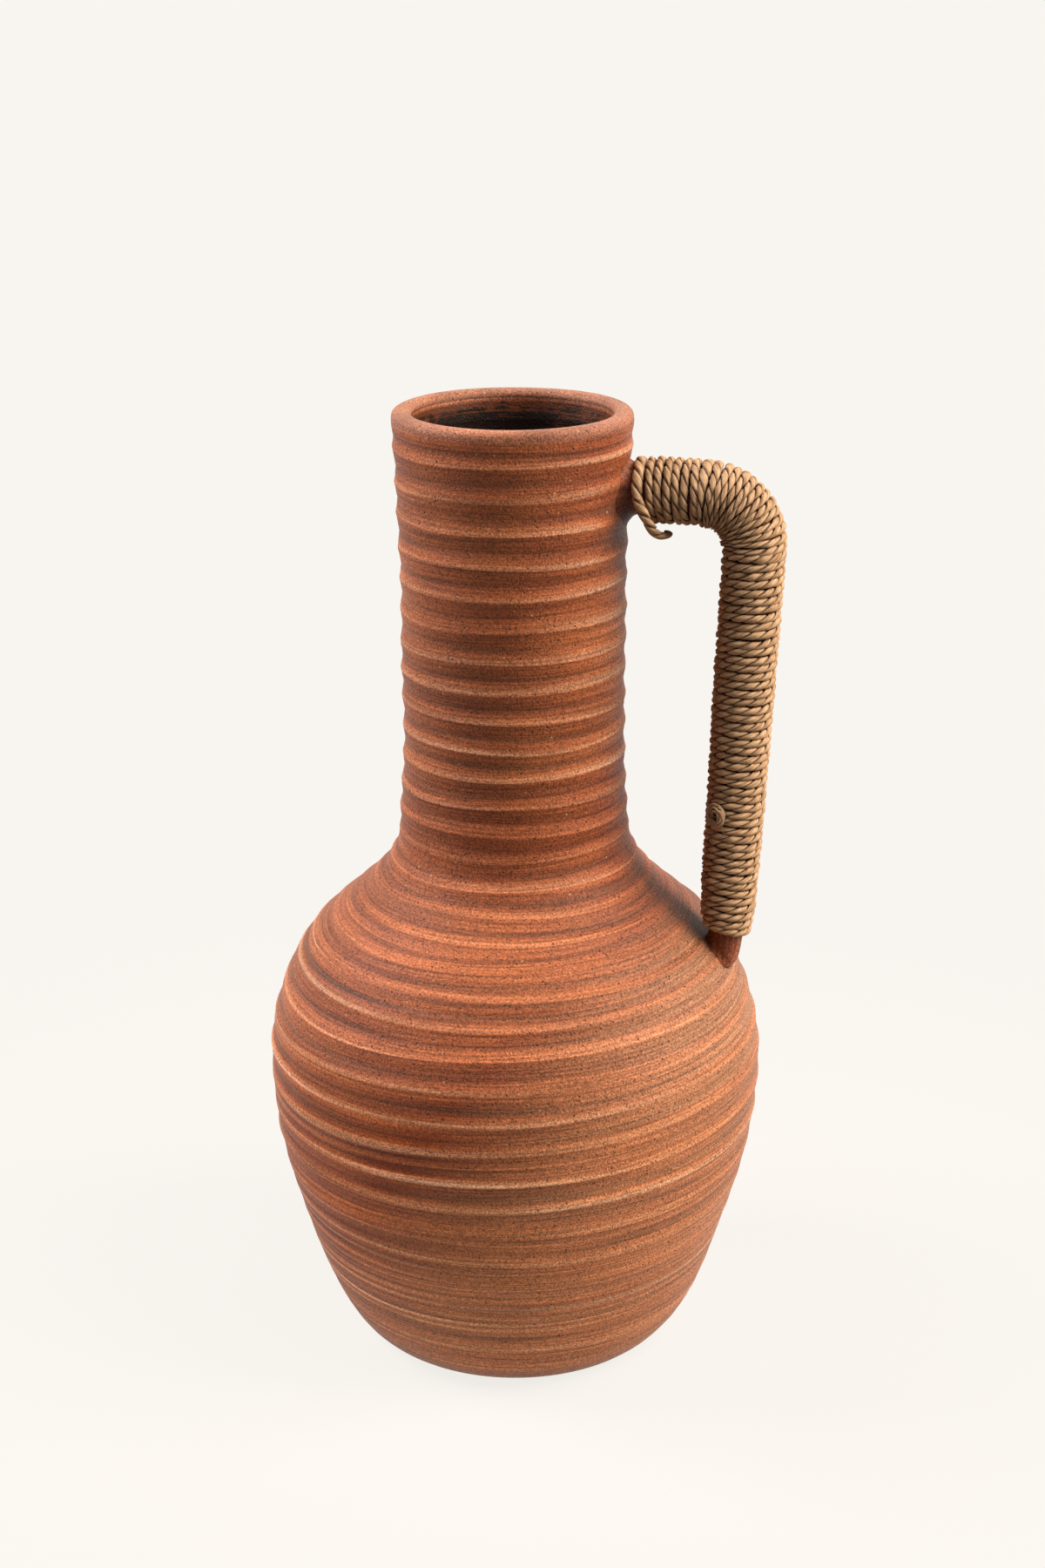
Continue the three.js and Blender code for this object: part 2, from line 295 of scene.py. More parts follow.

# %% [markdown]
# One ring, from its crest down to the next crest. Its section falls straight into the groove and rises again
# ever steeper. Its tone, which the material turns to colour, runs from 0.9 on the pale crest to -1.5 in the
# dark groove: partly slip rubbed off the crest, partly painted shade on the face that looks down and in the
# groove, and painted light on the face that looks up. The mesh has its rows along the rings, so that even few
# rows draw a crisp crest.

# %% One ring
ring_depth = 0.8
groove_share = 0.5
ring_rows = np.array([0, 0.025, 0.06, 0.15, 0.27, 0.4, 0.47, 0.51, 0.57, 0.7, 0.84, 0.965])
tone_shares = [0, 0.025, 0.06, 0.3, 0.42, 0.47, 0.51, 0.57, 0.7, 0.84, 0.965]
# Tones of one ring: pale wear on the crest, painted shade below it and in the groove, painted light on the
# face that looks up.
ring_tones = [0.85, 0.5, -0.5, -0.45, -0.6, -1.2, -1.5, -1.0, -0.3, 0.4, 0.9]


def ring_section(share):
    """Height of the ring's section: a straight fall from the crest, a groove and a rise that steepens."""
    rise = np.clip((share - groove_share) / (1 - groove_share), 0, 1)
    return np.where(share < groove_share, 1 - share / groove_share, rise**1.4)


row_place = (crests[:, None] + np.diff(crests, append=0.0)[:, None] * ring_rows).ravel()
row_section = np.tile(ring_section(ring_rows), len(crests))
row_tone = np.tile(np.interp(ring_rows, tone_shares, ring_tones), len(crests))
row_ring = np.repeat(np.arange(len(crests)), len(ring_rows))
print("rows along the wall:", len(row_place))

# %% [markdown]
# Marks of tone on the wall. Each mark is a soft spot: its height in mm, its turn in degrees (0 is the handle's
# side and -90 the front), its reach up and round, and the tone that it adds. Most are painted light and shade:
# a painted shadow under the arm, painted shade on the shoulder and belly under the grip and at the heel, and
# painted light on the neck beside the handle. The belt round the belly and the lower belly are paler.

# %% Marks of painted light and shade
columns = 360
turn = np.arange(columns) * 2 * math.pi / columns
# Painted shadow, painted shade and painted light, and two paler patches.
shade_light_and_tone_marks = {
    "painted shadow beside the arm": (294, -15, 11, 13, -2.0),
    "painted light on the neck by the handle": (260, -15, 60, 38, 0.6),
    "painted shade on the shoulder under the grip": (143, -8, 28, 36, -1.0),
    "painted shade on the belly under the grip": (115, 40, 38, 45, -1.0),
    "pale belt round the belly": (103, -105, 16, 60, 0.2),
    "pale lower belly": (45, -88, 40, 45, 0.35),
    "painted shade at the heel": (12, -138, 22, 40, -0.3),
}


def marked_tone(height):
    total = 0
    for mark_height, mark_turn, tall, wide, tone in shade_light_and_tone_marks.values():
        round_by = (np.degrees(turn) - mark_turn + 180) % 360 - 180
        total = total + tone * np.exp(-(((height - mark_height) / tall) ** 2) - (round_by / wide) ** 2)
    return total


# %% [markdown]
# From plain rings to thrown ones. On the belly the rings are tilted, as they are on a pot that was lifted off
# and finished off-centre, and there the fingers pressed harder on some turns than on others. The rings fade
# out at the foot and at the lip. On the lower belly the potter's rib smoothed them and left fine lines of
# slip in their place.

# %% Thrown wall
depth_heights = [12, 40, 62, 85, 140, 165, 182, 200]
depth_shares = [0.1, 0.16, 0.32, 0.66, 0.66, 0.5, 0.85, 1.0]
strength_heights = [10, 60, 110, 150, 165, 190, 205]
tone_strengths = [0.5, 0.6, 0.74, 0.64, 0.38, 0.45, 0.8]
tilt_height = 108
most_tilt, least_tilt = 4.2, 0.5
tilt_reach_up, tilt_reach_down = 38, 48
ring_fade_at_lip, ring_fade_at_foot = 12, 40
finger_pressure = np.random.default_rng(15).uniform(0.55, 1.35, len(crests))
# Each unevenness: its seed, its size in mm up the wall, its most waves round the pot, and its strength.
wall_unevenness = {
    "swaying rings": (11, 42, 3, 0.3),
    "finger pressure": (12, 27, 4, 0.2),
    "grainy skin": (13, 3.1, 5, 0.04),
    "soft form": (14, 60, 3, 0.1),
    "slip patches": (16, 7, 2, 0.2),
    "rib lines": (17, 2.6, 1, 0.55),
}


def ring_tilt(height):
    """How far a ring is lifted on the picture's right and dropped on its left."""
    spread = np.where(height > tilt_height, tilt_reach_up, tilt_reach_down)
    return least_tilt + most_tilt * np.exp(-(((height - tilt_height) / spread) ** 2))


def wall_uneven(name, place):
    seed, size, most_waves, strength = wall_unevenness[name]
    return strength * waves(seed, place, turn, size, most_waves)


def clay_wall(rows):
    """Radius, height, tone and pattern place of the wall's outside, for rows along the rings."""
    place = row_place[rows][:, None] + 0 * turn
    height = np.interp(place, run, outline[:, 1])
    end_fade = np.clip((wall_run - place) / ring_fade_at_lip, 0, 1) * np.clip(place / ring_fade_at_foot, 0, 1)
    tilt = ring_tilt(height) * np.cos(turn - camera_turn) * end_fade
    sway = wall_uneven("swaying rings", place) * end_fade
    pressure = finger_pressure[row_ring[rows]][:, None] * (1 + wall_uneven("finger pressure", place))
    on_neck = height > joint_height

    share = np.interp(height, depth_heights, depth_shares) * np.where(on_neck, 1.0, pressure)
    relief = (row_section[rows][:, None] - 0.5) * ring_depth * share
    relief = relief + wall_uneven("grainy skin", place) + wall_uneven("soft form", place)
    relief = relief * np.clip(end_fade * 2, 0, 1)

    strength = np.interp(height, strength_heights, tone_strengths) * np.where(on_neck, 1.0, pressure**0.7)
    ribbed = np.clip((110 - height) / 60, 0, 1)
    # The ring tones carry painted shade and light on the ring faces, and the marks add painted shadow, shade
    # and light.
    tone = row_tone[rows][:, None] * strength + marked_tone(height)
    tone = tone + wall_uneven("slip patches", place) + ribbed * wall_uneven("rib lines", place)
    tone = tone * np.clip((wall_run - place) / 5, 0, 1)
    radius, height = wall_point(place + tilt + sway, relief)
    return radius, np.maximum(height, 0), tone, place


# %% [markdown]
# Every mesh below is a grid of points, closed into a ring round the pot, plus attributes that the material
# reads: the tone of the slip at a point, how deep it lies inside the pot (inside), and its place on the wall
# as the brush travelled (brush). That last one counts brush lines up the wall and brush lengths round it,
# so that a plain noise of scale 1 in it draws fine streaks along the rings. Real brush hairs leave lines of
# 0.2 to 0.4 mm; a line is 0.7 mm wide here, so that it shows in the render.


# %% Meshes from rows of points
brush_line = 0.7
brush_length = 45


def grid_faces(rows, width):
    row, column = np.meshgrid(np.arange(rows - 1), np.arange(width), indexing="ij")
    beside = (column + 1) % width
    low, high = row * width, (row + 1) * width
    corners = [low + column, low + beside, high + beside, high + column]
    return np.stack(corners, axis=-1).reshape(-1, 4).tolist()


def piece(name, points, faces, material, slot, layers, stands_for=()):
    mesh = bpy.data.meshes.new(name)
    mesh.from_pydata((np.asarray(points) * MM).tolist(), [], faces)
    for key, values in layers.items():
        values = np.asarray(values, np.float32)
        vector = values.ndim == 2
        layer = mesh.attributes.new(key, "FLOAT_VECTOR" if vector else "FLOAT", "POINT")
        layer.data.foreach_set("vector" if vector else "value", values.ravel())
    mesh.polygons.foreach_set("use_smooth", [True] * len(mesh.polygons))
    mesh.materials.append(material)
    made = bpy.data.objects.new(name, mesh)
    bpy.context.collection.objects.link(made)
    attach(made, "root")
    if stands_for:
        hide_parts(*stands_for)
    print(name, "has", len(mesh.polygons), "faces")
    return made


def turned_skin(rows, poles):
    """Points, faces and attributes of a closed skin. A row is (radius, height, tone, place, inside)."""
    grids = [np.array([np.broadcast_to(row[i], columns) for row in rows]) for i in range(5)]
    radius, height, tone, place, inside = grids
    points = np.stack([radius * np.cos(turn), radius * np.sin(turn), height], axis=-1).reshape(-1, 3)
    brush = np.column_stack([points[:, :2] / brush_length, place.ravel() / brush_line])
    faces = grid_faces(len(rows), columns)
    layers = [brush, tone.ravel(), inside.ravel()]
    last = (len(rows) - 1) * columns
    around = [(i, (i + 1) % columns) for i in range(columns)]
    if poles:
        points = np.vstack([points, [[0, 0, height[0].mean()], [0, 0, height[-1].mean()]]])
        layers = [np.concatenate([layer, layer[:1], layer[-1:]]) for layer in layers]
        under, floor = len(points) - 2, len(points) - 1
        faces += [(under, b, a) for a, b in around]
        faces += [(floor, last + a, last + b) for a, b in around]
    else:
        faces += [(last + a, last + b, b, a) for a, b in around]
    return points, faces, dict(zip(("brush", "tone", "inside"), layers))


def sharpen(made, rows):
    """Marks the edges along whole rows as sharp."""
    mesh = made.data
    ends = np.empty(len(mesh.edges) * 2, int)
    mesh.edges.foreach_get("vertices", ends)
    row = ends.reshape(-1, 2) // columns
    mesh.edges.foreach_set("use_edge_sharp", (row[:, 0] == row[:, 1]) & np.isin(row[:, 0], rows))


# %% [markdown]
# Terracotta here is iron-rich red clay, brushed with a thin slip and fired without glaze. The colour follows
# the rings, brown in a groove and pale orange on a crest: partly slip that ran into the grooves and rubbed off
# the crests, partly painted shade on each ring's lower face and painted light on its upper face. The brush
# left fine streaks along the rings, which show most on the lower belly. The body is gritty: grains of 0.3 to
# 0.5 mm, drawn here at 0.7 mm so that they show in the render, and bigger ones that fell out and left dark
# pits or stayed as pale specks.
#
# First come the patterns. A grain is a cell of a Voronoi texture, and its random colour says whether it is a
# pit, a speck or nothing. The edge of the painted shade inside is ragged because the brush streaks and soft
# patches are added to the depth below the lip.

# %% Patterns in the clay
grit_mm = 0.7
grain_mm = 1.1
cloud_mm = 45
inside_shade_patch_mm = 5
bands_per_streak = 0.16
# Painted light lies on the lower right of the belly.
lit_side_direction = (0.8, -0.2, -0.6)


def clay_patterns(tree):
    """The patterns that colour and roughen the clay, by name."""
    place = add(tree, "TexCoord", output="Object")
    brush = add(tree, "Attribute", output="Vector", attribute_name="brush")
    towards = {0: place, 1: lit_side_direction}
    fine_grit = {"Vector": place, "Scale": 1 / (grit_mm * MM), "Detail": 2.0, "Roughness": 0.8}
    inside_shade_edge = {"Vector": place, "Scale": 1 / (inside_shade_patch_mm * MM), "Detail": 4.0}
    return {
        "height": add(tree, "SeparateXYZ", {0: place}, output=2),
        "tone": add(tree, "Attribute", output="Fac", attribute_name="tone"),
        "inside": add(tree, "Attribute", output="Fac", attribute_name="inside"),
        "painted lit side": add(tree, "VectorMath", towards, output="Value", operation="DOT_PRODUCT"),
        "streaks": add(tree, "TexNoise", {"Vector": brush, "Scale": 1.0, "Detail": 3.0, "Roughness": 0.6}),
        "bands": add(tree, "TexNoise", {"Vector": brush, "Scale": bands_per_streak, "Detail": 2.0}),
        "clouds": add(tree, "TexNoise", {"Vector": place, "Scale": 1 / (cloud_mm * MM), "Detail": 3.0}),
        "inside shade patches": add(tree, "TexNoise", inside_shade_edge),
        "grit": add(tree, "TexNoise", fine_grit),
    }


def grains(tree):
    """Masks of the pits and of the pale specks."""
    grain_size = {"Vector": add(tree, "TexCoord", output="Object"), "Scale": 1 / (grain_mm * MM)}
    chosen = add(tree, "TexVoronoi", grain_size, output="Color")
    from_middle = add(tree, "TexVoronoi", grain_size)
    shape = add(tree, "MapRange", {"Value": from_middle, "From Min": 0.42, "From Max": 0.22})
    pits = add(tree, "MapRange", {"Value": chosen, "From Min": 0.78, "From Max": 0.84, "To Max": 0.75})
    specks = add(tree, "MapRange", {"Value": chosen, "From Min": 0.1, "From Max": 0.06, "To Max": 0.5})
    return [add(tree, "Math", {0: mask, 1: shape}, operation="MULTIPLY") for mask in (pits, specks)]


def ragged_inside_shade(tree, patterns):
    """Rises with depth below the lip, unevenly, and is 0 on the outside."""
    inside = patterns["inside"]
    ragged = add(tree, "Math", {0: patterns["streaks"], 1: 1.6, 2: inside}, operation="MULTIPLY_ADD")
    ragged = add(tree, "Math", {0: ragged, 1: patterns["inside shade patches"]}, operation="ADD")
    past_lip = add(tree, "MapRange", {"Value": inside, "From Max": 0.05})
    return add(tree, "Math", {0: ragged, 1: past_lip}, operation="MULTIPLY")


# %% [markdown]
# The colour is built up in layers: the slip by its tone, which carries the painted ring shade and the painted
# marks, then wide soft stains, among them painted light on the belly's right side, then streaks and grit as
# gains that make it darker or paler but keep its hue, and last pits, specks and the painted shade inside. A
# stain is a mask, the values where it starts and where it is full, its share and its colour. Heights are in
# metres: the shoulder is paler, the neck darker, and the lip was wiped.

# %% Slip and stains
grit_gains = (0.36, 1.78)
tone_colours = [
    (-1.6, "#2A0F04"),
    (-1.0, "#542008"),
    (-0.4, "#7E3612"),
    (0.2, "#AA5B30"),
    (0.9, "#CC926C"),
    (1.3, "#D8B094"),
]
darkest, palest = tone_colours[0][0], tone_colours[-1][0]


def stain(tree, colour, layers):
    """Lays stains over a colour."""
    for mask, start, full, share, code in layers:
        amount = add(tree, "MapRange", {"Value": mask, "From Min": start, "From Max": full, "To Max": share})
        colour = add(tree, "Mix", {0: amount, 6: colour, 7: linear(code)}, output=2, data_type="RGBA")
    return colour


def clay_colour(tree, patterns, pits, specks, streak_gains):
    slip = add(tree, "MapRange", {"Value": patterns["tone"], "From Min": darkest, "From Max": palest})
    slip_colours = [((value - darkest) / (palest - darkest), code) for value, code in tone_colours]
    colour = add(tree, "ValToRGB", {"Fac": slip}, stops=slip_colours)
    wide_stains = [
        (patterns["height"], 0.105, 0.125, 0.14, "#BE9078"),
        (patterns["height"], 0.155, 0.19, 0.4, "#5C2204"),
        (patterns["height"], 0.3235, 0.3255, 0.6, "#906A5A"),
        # Painted light on the belly's right side.
        (patterns["painted lit side"], -0.055, -0.015, 0.4, "#E4A67C"),
        (patterns["clouds"], 0.35, 0.7, 0.25, "#C07A48"),
        (patterns["bands"], 0.45, 0.7, 0.35, "#6A3418"),
    ]
    colour = stain(tree, colour, wide_stains)
    for name, (dark, pale) in (("streaks", streak_gains), ("grit", grit_gains)):
        gain = {"Value": patterns[name], "From Min": 0.3, "From Max": 0.7, "To Min": dark, "To Max": pale}
        colour = add(tree, "VectorMath", {0: colour, "Scale": add(tree, "MapRange", gain)}, operation="SCALE")
    small_marks = [
        (pits, 0.0, 1.0, 1.0, "#240F07"),
        (specks, 0.0, 1.0, 1.0, "#E8C09A"),
        # Painted shade inside the pot: dark brown from the lip's inner edge, near black deeper down.
        (patterns["inside"], 0.0, 0.1, 0.8, "#42200F"),
        (ragged_inside_shade(tree, patterns), 1.54, 1.72, 0.97, "#0C0402"),
    ]
    return stain(tree, colour, small_marks)


# %% [markdown]
# Three finishes come from one function: the thrown wall, the wall deep inside, which is painted dark as shade
# and has almost no gloss, and the handle, which was pulled and not turned, so that its streaks are coarser and
# its colour is duller.
# The IOR is that of fired clay, 1.5. The slip is dull, so its gloss is low and its roughness middling, which
# gives a wide soft sheen. The grit and the streaks are bumps too, and the pits are hollows.

# %% Clay finishes
fired_clay_ior = 1.5
roughness_range = {"From Min": 0.3, "From Max": 0.7, "To Min": 0.55, "To Max": 0.38}
grit_bump, streak_bump, pit_bump = 0.3, 0.1, -0.2


def clay_material(name, tint="#FFFFFF", specular=0.2, streak_gains=(0.55, 1.45)):
    clay, tree = new_material(name)
    patterns = clay_patterns(tree)
    pits, specks = grains(tree)
    colour = clay_colour(tree, patterns, pits, specks, streak_gains)
    tinted = {0: 1.0, 6: colour, 7: linear(tint)}
    colour = add(tree, "Mix", tinted, output=2, data_type="RGBA", blend_type="MULTIPLY")
    relief = 0.0
    for mask, depth in ((patterns["grit"], grit_bump), (patterns["streaks"], streak_bump), (pits, pit_bump)):
        relief = add(tree, "Math", {0: mask, 1: depth, 2: relief}, operation="MULTIPLY_ADD")
    bump = add(tree, "Bump", {"Height": relief, "Strength": 1.0, "Distance": MM})
    dulled = add(tree, "MapRange", {"Value": patterns["grit"], **roughness_range})
    look = {"Base Color": colour, "Roughness": dulled, "Normal": bump}
    look.update({"IOR": fired_clay_ior, "Specular IOR Level": specular})
    add(tree, "OutputMaterial", {"Surface": add(tree, "BsdfPrincipled", look)})
    return clay


terracotta = clay_material("brushed_terracotta")
inside_shade_clay = clay_material("terracotta_with_painted_inside_shade", specular=0.1)
handle_clay = clay_material("hand_pulled_terracotta", "#C8B4AC", streak_gains=(0.35, 1.7))

# %% [markdown]
# The neck is a tube that was thrown by itself. Its skin runs up the ringed outside, over the rounded lip and
# down the inside, and closes with the flat rim that sits on the shoulder. The lip is a flattened half round,
# because the potter pressed it with a strip of leather. The two edges of the flat rim are marked sharp. The
# painted shade inside begins as a dark brown at the lip's inner edge and is full 12 mm further down.

# %% Neck
inside_shade_depth = 12
inside_shade_from = 0.3
lip_shade_from = 0.88
lip_flatness = 0.6
lip_tone = 0.8
lip_sweep = np.linspace(0.04, 0.96, 16)
inner_row_count = 40


def clay_rows(rings):
    """The rows of the wall's outside over those rings, from the lowest to the highest."""
    rows = np.flatnonzero(np.isin(row_ring, rings))[::-1]
    radius, height, tone, place = clay_wall(rows)
    return [(radius[i], height[i], tone[i], place[i], 0.0) for i in range(len(rows))]


def inner_rows(high, low, wall):
    """Rows of the inside, from high to low along the outline, with shallow rings of their own."""
    rows = []
    for place in np.linspace(high, low, inner_row_count):
        ring_wave = 0.25 * math.sin(2 * math.pi * place / ring_step)
        uneven = 0.15 * waves(21, np.full(columns, place), turn, 30, 3)
        radius, height = wall_point(place, -wall + ring_wave)
        rows.append((radius + uneven, height, 0.0, height, np.clip((lip_height - height) / inside_shade_depth, 0, 1)))
    return rows


def lip_rows():
    """Rows over the lip, from its outer side to its inner side."""
    rows = []
    for share in lip_sweep:
        sweep = math.pi * share
        reach = math.copysign(abs(math.cos(sweep)) ** lip_flatness, math.cos(sweep))
        rise = math.sin(sweep) ** lip_flatness
        uneven = 0.12 * waves(31, np.full(columns, share * 10), turn, 40, 4) * rise
        radius = lip_radius - neck_wall / 2 + reach * neck_wall / 2
        height = lip_height + (lip_cap - 0.2) * rise
        lip_shade = max(0.0, share - lip_shade_from)
        rows.append((radius + uneven, height + uneven, lip_tone * rise**3, top_height, lip_shade))
    return rows


def paint_inside_shade(made, layers):
    """Gives the faces that lie deep inside the pot the material with painted shade inside."""
    made.data.materials.append(inside_shade_clay)
    for face in made.data.polygons:
        face.material_index = int(min(layers["inside"][i] for i in face.vertices) > inside_shade_from)


joint_run = float(np.interp(joint_height, outline[:, 1], run))
neck_rim = clay_rows([joint_ring])[-1:]
neck_rows = neck_rim + clay_rows(range(joint_ring)) + lip_rows()
neck_rows += inner_rows(wall_run, joint_run, neck_wall)
points, faces, layers = turned_skin(neck_rows, poles=False)
thrown_neck = piece("thrown_neck", points, faces, terracotta, "fired_clay", layers, ["neck"])
paint_inside_shade(thrown_neck, layers)
sharpen(thrown_neck, [0, len(neck_rows) - 1])

# %% [markdown]
# The belly was thrown as an open bowl and closed in to the shoulder. Its foot was cut off the wheel with a
# wire, so it is flat, with a slight hollow in the middle that lets it stand firm. Inside, the wall runs down
# to a floor.

# %% Belly
foot_hollow = 0.5
foot_rows = []
for share in (0.03, 0.2, 0.4, 0.6, 0.75, 0.88, 0.96):
    hollow = foot_hollow * max(0.0, 1 - share**2) ** 2
    foot_rows.append((foot_radius * share, hollow, 0.0, -foot_radius * (1 - share), 0.0))
floor_rows = []
for share in (0.95, 0.7, 0.45, 0.2, 0.03):
    finger_ripple = 0.3 * math.sin(9 * share)
    floor_rows.append((foot_radius * share, floor_thickness + finger_ripple, 0.0, share, 1.0))
floor_run = float(np.interp(floor_thickness + 3.0, outline[:, 1], run))
belly_rows = foot_rows + clay_rows(range(joint_ring, len(crests)))
rim_row = len(belly_rows) - 1
belly_rows += inner_rows(joint_run, floor_run, belly_wall) + floor_rows
points, faces, layers = turned_skin(belly_rows, poles=True)
thrown_belly = piece("thrown_belly", points, faces, terracotta, "fired_clay", layers, ["belly"])
paint_inside_shade(thrown_belly, layers)
sharpen(thrown_belly, [rim_row, rim_row + 1])

# %% [markdown]
# The handle is one bar of clay: level out of the neck, round a bend, and down to the shoulder. It tapers a
# little. Below the cord it narrows to a blunt toe that was thumbed onto the shoulder. Its centre line is
# worked out first, and everything on the handle is placed by its distance along that line and its angle
# round it.

# %% Handle route
arm_height = lip_height - 21
grip_reach = 79.4
bend_radius = 16
grip_lean = math.radians(2.6)
bend_start = grip_reach - bend_radius
bend_sweep = math.pi / 2 + grip_lean
bend_end = bend_start + bend_radius * bend_sweep
grip_top = arm_height - bend_radius * (1 + math.sin(grip_lean))
neck_face = float(np.interp(arm_height, outline[:, 1], outline[:, 0]))


def route(distance):
    """Place, direction and outward side of the bar's centre line, each as x and z."""
    distance = np.asarray(distance, float)
    sweep = np.clip((distance - bend_start) / bend_radius, 0, bend_sweep)
    along = np.stack([np.cos(sweep), -np.sin(sweep)], axis=-1)
    outward = np.stack([np.sin(sweep), np.cos(sweep)], axis=-1)
    level = np.minimum(distance, bend_start)
    corner = np.stack([level, np.full_like(level, arm_height - bend_radius)], axis=-1)
    place = corner + bend_radius * outward + np.maximum(distance - bend_end, 0)[..., None] * along
    return place, along, outward


def at_height(height):
    return bend_end + (grip_top - height) / math.cos(grip_lean)


def round_handle(distance, angle, radius):
    """The point at an angle round the bar: 0 is its outer side and a quarter turn is its front."""
    place, _, outward = route(distance)
    flat = place + (radius * np.cos(angle))[..., None] * outward
    return np.stack([flat[..., 0], -radius * np.sin(angle), flat[..., 1]], axis=-1)


bar_heights = [280, 237, 208, 179, 164, 157, 153, 150, 147, 144.5, 142.7, 141.5, 140.6]
bar_places = [0, bend_start] + [at_height(height) for height in bar_heights]
bar_radii = [8.25, 8.0, 7.6, 7.5, 7.1, 7.0, 6.6, 6.05, 5.8, 5.6, 5.3, 4.9, 4.2, 3.0, 0.4]
even = np.arange(-10, bar_places[-1], 0.25)
window = np.hanning(17)
eased = np.convolve(np.pad(np.interp(even, bar_places, bar_radii), 8, "edge"), window / window.sum(), "valid")


def bar_radius(distance):
    return np.interp(distance, even, eased)


# %% [markdown]
# The bar is a grid of rings, 56 points round. Where it meets the pot the clay is drawn out into a fillet. Near
# the neck the rings follow the curved wall instead of the arm's cross-section, and the fillet pushes each
# point away from the bar's middle, the more the closer it lies to the wall: by 4.2 mm under the arm and 1.4 mm
# over it. At the toe it is 1.5 mm. Painted shade darkens the underside of the root and a painted highlight
# lightens its top.

# %% Handle clay
bar_columns = 56
bar_angle = np.arange(bar_columns) * 2 * math.pi / bar_columns
arm_fillet_over, arm_fillet_under, arm_fillet_length = 1.4, 4.2, 4.0
toe_fillet, toe_fillet_length = 1.5, 2.4
root_offsets = [-1.5, -0.4, 0, 0.2, 0.5, 0.9, 1.4, 2.0, 2.6, 3.3, 4.0]
step_under_cord, step_at_toe = 2.0, 0.4
root_reach = 5
handle_tone = -0.25
rings, ring_distance = [], []
for off_wall in root_offsets:
    share = (1 - min(max(off_wall, 0), arm_fillet_length) / arm_fillet_length) ** 2
    fillet = arm_fillet_over + (arm_fillet_under - arm_fillet_over) * (1 - np.cos(bar_angle)) / 2
    radius = bar_radius(neck_face) + fillet * share
    y, z = -radius * np.sin(bar_angle), arm_height + radius * np.cos(bar_angle)
    neck_radius = np.interp(z, outline[:, 1], outline[:, 0])
    rings.append(np.stack([np.sqrt(neck_radius**2 - y**2) + off_wall, y, z], axis=-1))
    ring_distance.append(neck_face + off_wall)
bare_from = at_height(160)
toe_end = at_height(140.7)
under_cord = np.arange(neck_face + 7, bare_from, step_under_cord)
at_toe = np.arange(bare_from, toe_end, step_at_toe)
for distance in np.concatenate([under_cord, at_toe]):
    radius = np.full(bar_columns, bar_radius(distance))
    radius = radius + 0.1 * waves(41, np.full(bar_columns, distance), bar_angle, 25, 5)
    ring = round_handle(np.full(bar_columns, distance), bar_angle, radius)
    if distance > bare_from:
        stand_off = np.hypot(ring[:, 0], ring[:, 1]) - np.interp(ring[:, 2], outline[:, 1], outline[:, 0])
        near = np.clip(1 - 0.75 * stand_off / toe_fillet_length, 0, 1) ** 2
        ring = round_handle(np.full(bar_columns, distance), bar_angle, radius + toe_fillet * near)
    rings.append(ring)
    ring_distance.append(distance)
points = np.concatenate(rings)
faces = [face[::-1] for face in grid_faces(len(rings), bar_columns)]
last = len(points) - bar_columns
faces += [tuple(range(bar_columns)), tuple(range(last + bar_columns - 1, last - 1, -1))]
angle, distance = np.tile(bar_angle, len(rings)), np.repeat(ring_distance, bar_columns)
across = bar_radius(distance) / brush_line
brush = np.column_stack([across * np.cos(angle), across * np.sin(angle), distance / brush_length])
at_root = np.exp(-(((distance - neck_face) / root_reach) ** 2))
# Painted shade under the root and a painted highlight on its top.
root_shade_and_highlight = np.interp(np.cos(angle), [-1, 0.1, 0.5, 1], [-1.3, -1.3, 0.8, 1.2])
layers = {"brush": brush, "tone": at_root * root_shade_and_highlight + handle_tone, "inside": np.zeros(len(points))}
piece("pulled_handle", points, faces, handle_clay, "fired_clay", layers, ["handle"])

# %% [markdown]
# The cord is twisted from two plies of a coarse leaf fibre. It is 2.75 mm thick and makes one whole twist in 9
# mm. Each ply is a tube of its own that runs round the cord's middle. Its section is wider than deep, because
# the plies press on each other. The shader needs to know where a point lies in its ply (strand), to draw the
# fibres, and how deep it lies between plies or between turns (crevice), to paint shade there.

# %% Twisted cord
cord_radius = 1.375
ply_offset = 0.6
ply_depth = 0.77
ply_width = 1.13
ply_sides = 10
lay = 9.0
samples_per_turn = 90


def tubes(paths):
    """Joins tubes, each given as points[station, side], into one list of points and faces."""
    points, faces = [], []
    for path in paths:
        base = sum(len(p) for p in points)
        stations, sides = path.shape[:2]
        points.append(path.reshape(-1, 3))
        faces += [tuple(base + i for i in face) for face in grid_faces(stations, sides)]
        faces += [tuple(base + i for i in range(sides - 1, -1, -1))]
        faces += [tuple(base + (stations - 1) * sides + i for i in range(sides))]
    return np.concatenate(points), faces


def unit(vectors):
    return vectors / np.linalg.norm(vectors, axis=-1, keepdims=True)


